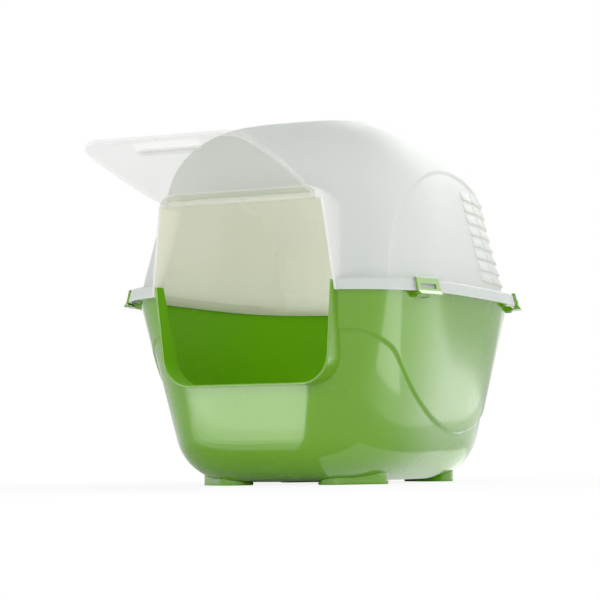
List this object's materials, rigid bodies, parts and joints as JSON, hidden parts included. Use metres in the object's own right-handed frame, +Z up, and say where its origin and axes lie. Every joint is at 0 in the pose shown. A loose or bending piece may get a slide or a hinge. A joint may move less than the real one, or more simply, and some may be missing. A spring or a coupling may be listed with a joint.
{
  "type": "covered litter box",
  "caption": "Covered cat litter box: deep green tray, domed white hood with a doorway, clear swing flap, hinged hood clips and foot pads.",
  "frame": {"origin": "on the floor, in the middle of the footprint with the flap raised as it is stored", "axes": "+X to the box's right seen from the front, +Y from the doorway to the rear, +Z up"},
  "size_m": [0.3781, 0.6612, 0.4095],
  "materials": {
    "green": "gloss",
    "white": "satin",
    "clear": "frosted clear"
  },
  "bodies": {
    "box": {"base_tray": "green", "hood": "white", "foot_front_left": "green", "foot_front_right": "green", "foot_rear_left": "green", "foot_rear_right": "green"},
    "flap": {"flap_door": "clear"},
    "clip_front_left": {"latch_front_left": "green"},
    "clip_front_right": {"latch_front_right": "green"},
    "clip_rear_left": {"latch_rear_left": "green"},
    "clip_rear_right": {"latch_rear_right": "green"}
  },
  "joints": [
    {"name": "flap_swing", "type": "hinge", "parent": "box", "child": "flap", "pos_m": [0, -0.14141, 0.303], "axis": [1, 0, 0], "range_deg": [0, 165]},
    {"name": "latch_front_left_turn", "type": "hinge", "parent": "box", "child": "clip_front_left", "pos_m": [-0.16917, -0.05406, 0.2003], "axis": [0.2766, -0.961, 0], "range_deg": [0, 95]},
    {"name": "latch_front_right_turn", "type": "hinge", "parent": "box", "child": "clip_front_right", "pos_m": [0.16917, -0.05406, 0.2003], "axis": [0.2766, 0.961, 0], "range_deg": [0, 95]},
    {"name": "latch_rear_left_turn", "type": "hinge", "parent": "box", "child": "clip_rear_left", "pos_m": [-0.16917, 0.23524, 0.2003], "axis": [-0.2766, -0.961, 0], "range_deg": [0, 95]},
    {"name": "latch_rear_right_turn", "type": "hinge", "parent": "box", "child": "clip_rear_right", "pos_m": [0.16917, 0.23524, 0.2003], "axis": [-0.2766, 0.961, 0], "range_deg": [0, 95]}
  ]
}
